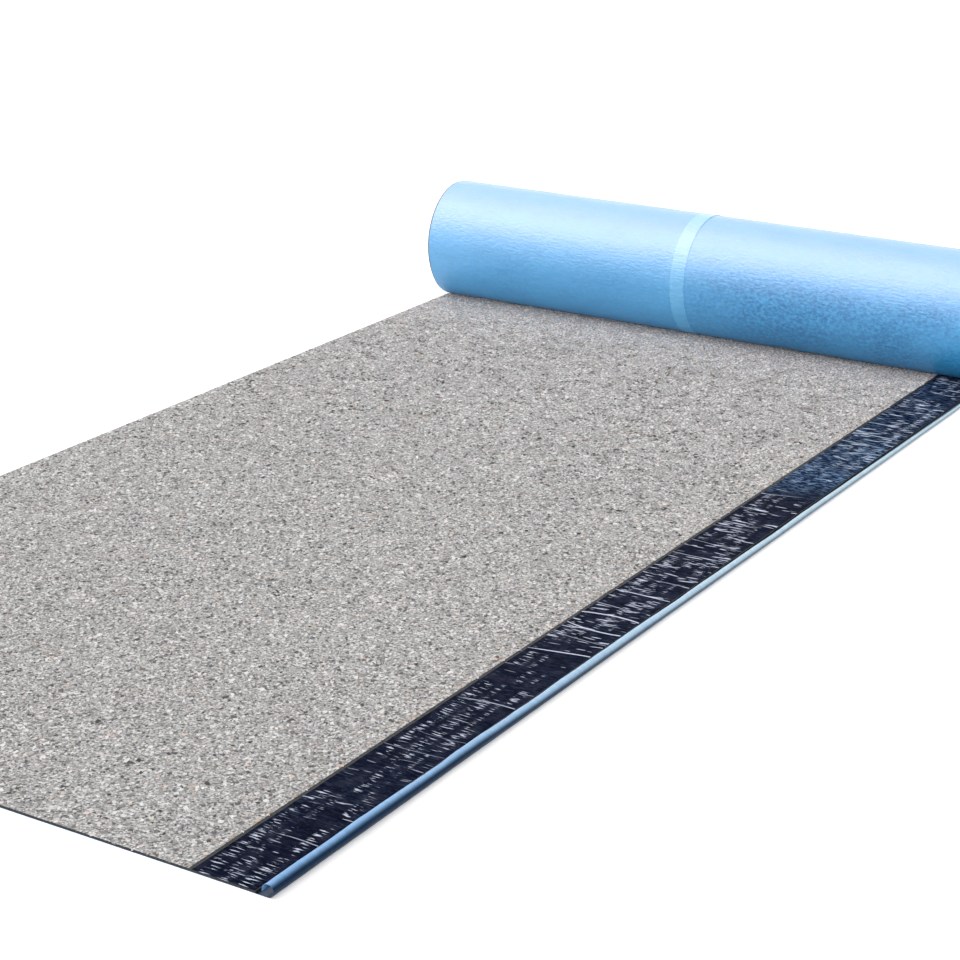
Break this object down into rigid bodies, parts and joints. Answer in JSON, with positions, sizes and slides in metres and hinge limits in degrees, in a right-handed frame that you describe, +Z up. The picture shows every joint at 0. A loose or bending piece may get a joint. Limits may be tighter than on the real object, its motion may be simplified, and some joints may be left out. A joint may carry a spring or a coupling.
{
  "type": "roll of roofing felt",
  "caption": "Partly unrolled roll of self-adhesive roofing felt, granule face up, with blue release film round the roll, a film-covered selvage and a curled film edge.",
  "frame": {"origin": "on the floor, under the middle of the part's extent along and across the sheet", "axes": "+Z up, +Y along the sheet from the cut end of the lead to the roll, +X across the sheet towards the selvage, along the roll's axis"},
  "size_m": [1.0176, 1.999, 0.1983],
  "materials": {
    "felt": "matt mineral granules on bitumen",
    "release_film": "satin, finely creased",
    "selvage_film": "glossy, finely creased"
  },
  "bodies": {
    "root": {"felt": "felt", "release_film_left": "release_film", "release_film_right": "release_film", "film_hem": "release_film", "selvage_film": "selvage_film"}
  },
  "joints": []
}
